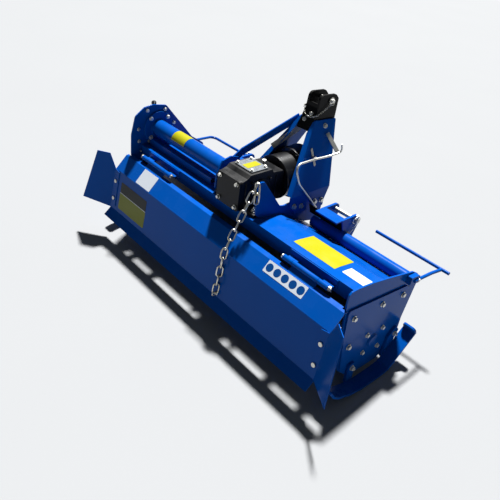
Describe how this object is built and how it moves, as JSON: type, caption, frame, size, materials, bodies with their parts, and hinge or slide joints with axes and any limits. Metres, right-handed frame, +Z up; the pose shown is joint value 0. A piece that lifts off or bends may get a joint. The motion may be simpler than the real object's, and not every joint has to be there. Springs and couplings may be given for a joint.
{
  "type": "rotary tiller",
  "caption": "Three-point mounted rotary tiller with side drive case, bladed rotor under a steel hood, chain-hung rear flap, side skids and an A-frame mast.",
  "frame": {"origin": "on the floor, below the middle of the machine's bounding box", "axes": "+X is the machine's right seen in its direction of travel, +Y is forward to the tractor, +Z is up"},
  "size_m": [1.8468, 0.868, 0.9735],
  "materials": {
    "blue_paint": "gloss royal blue enamel",
    "black_paint": "satin black",
    "grey_cover": "satin grey",
    "zinc_plate": "zinc plated",
    "blade_steel": "dark painted steel"
  },
  "bodies": {
    "frame": {"base_bracket_left": "blue_paint", "base_bracket_right": "blue_paint", "case_plate_left": "blue_paint", "deck": "blue_paint", "deck_stiffener": "blue_paint", "drive_tube": "blue_paint", "end_plate_right": "blue_paint", "front_beam_left": "blue_paint", "front_beam_right": "blue_paint", "front_guard_left": "blue_paint", "front_guard_right": "blue_paint", "gear_case": "blue_paint", "gearbox": "black_paint", "gearbox_top_cover": "grey_cover", "hinge_bracket_left": "blue_paint", "hinge_bracket_right": "blue_paint", "hinge_pin_left": "zinc_plate", "hinge_pin_right": "zinc_plate", "hitch_bracket_left": "blue_paint", "hitch_bracket_right": "blue_paint", "hitch_pin_left": "zinc_plate", "hitch_pin_right": "zinc_plate", "mast_leg_left": "blue_paint", "mast_leg_right": "blue_paint", "pto_guard": "black_paint", "rear_stay_left": "blue_paint", "rotor_bearing_left": "blue_paint", "rotor_bearing_right": "blue_paint", "shaft_rest": "zinc_plate", "side_plate_right": "blue_paint", "skid_left": "blue_paint", "skid_right": "blue_paint", "top_clevis": "black_paint", "top_link_pin": "zinc_plate"},
    "rotor": {"rotor_shaft": "blade_steel", "rotor_flange_1": "blade_steel", "rotor_flange_2": "blade_steel", "rotor_flange_3": "blade_steel", "rotor_flange_4": "blade_steel", "rotor_flange_5": "blade_steel", "rotor_flange_6": "blade_steel"},
    "power_input": {"pto_shaft": "blade_steel"},
    "flap": {"rear_flap": "blue_paint", "wing_left": "blue_paint", "wing_right": "blue_paint", "flap_chain": "zinc_plate"}
  },
  "joints": [
    {"name": "rotor_spin", "type": "hinge", "parent": "frame", "child": "rotor", "pos_m": [0, 0.02803, 0.171], "axis": [-1, 0, 0], "continuous": true},
    {"name": "input_spin", "type": "hinge", "parent": "frame", "child": "power_input", "pos_m": [0, 0.15603, 0.585], "axis": [0, 1, 0], "continuous": true},
    {"name": "flap_hinge", "type": "hinge", "parent": "frame", "child": "flap", "pos_m": [0, -0.20497, 0.474], "axis": [-1, 0, 0], "range_deg": [0, 55], "deforming": ["flap_chain"]}
  ],
  "couplings": [
    {"joint": "input_spin", "follows": "rotor_spin", "ratio": 2.45}
  ]
}
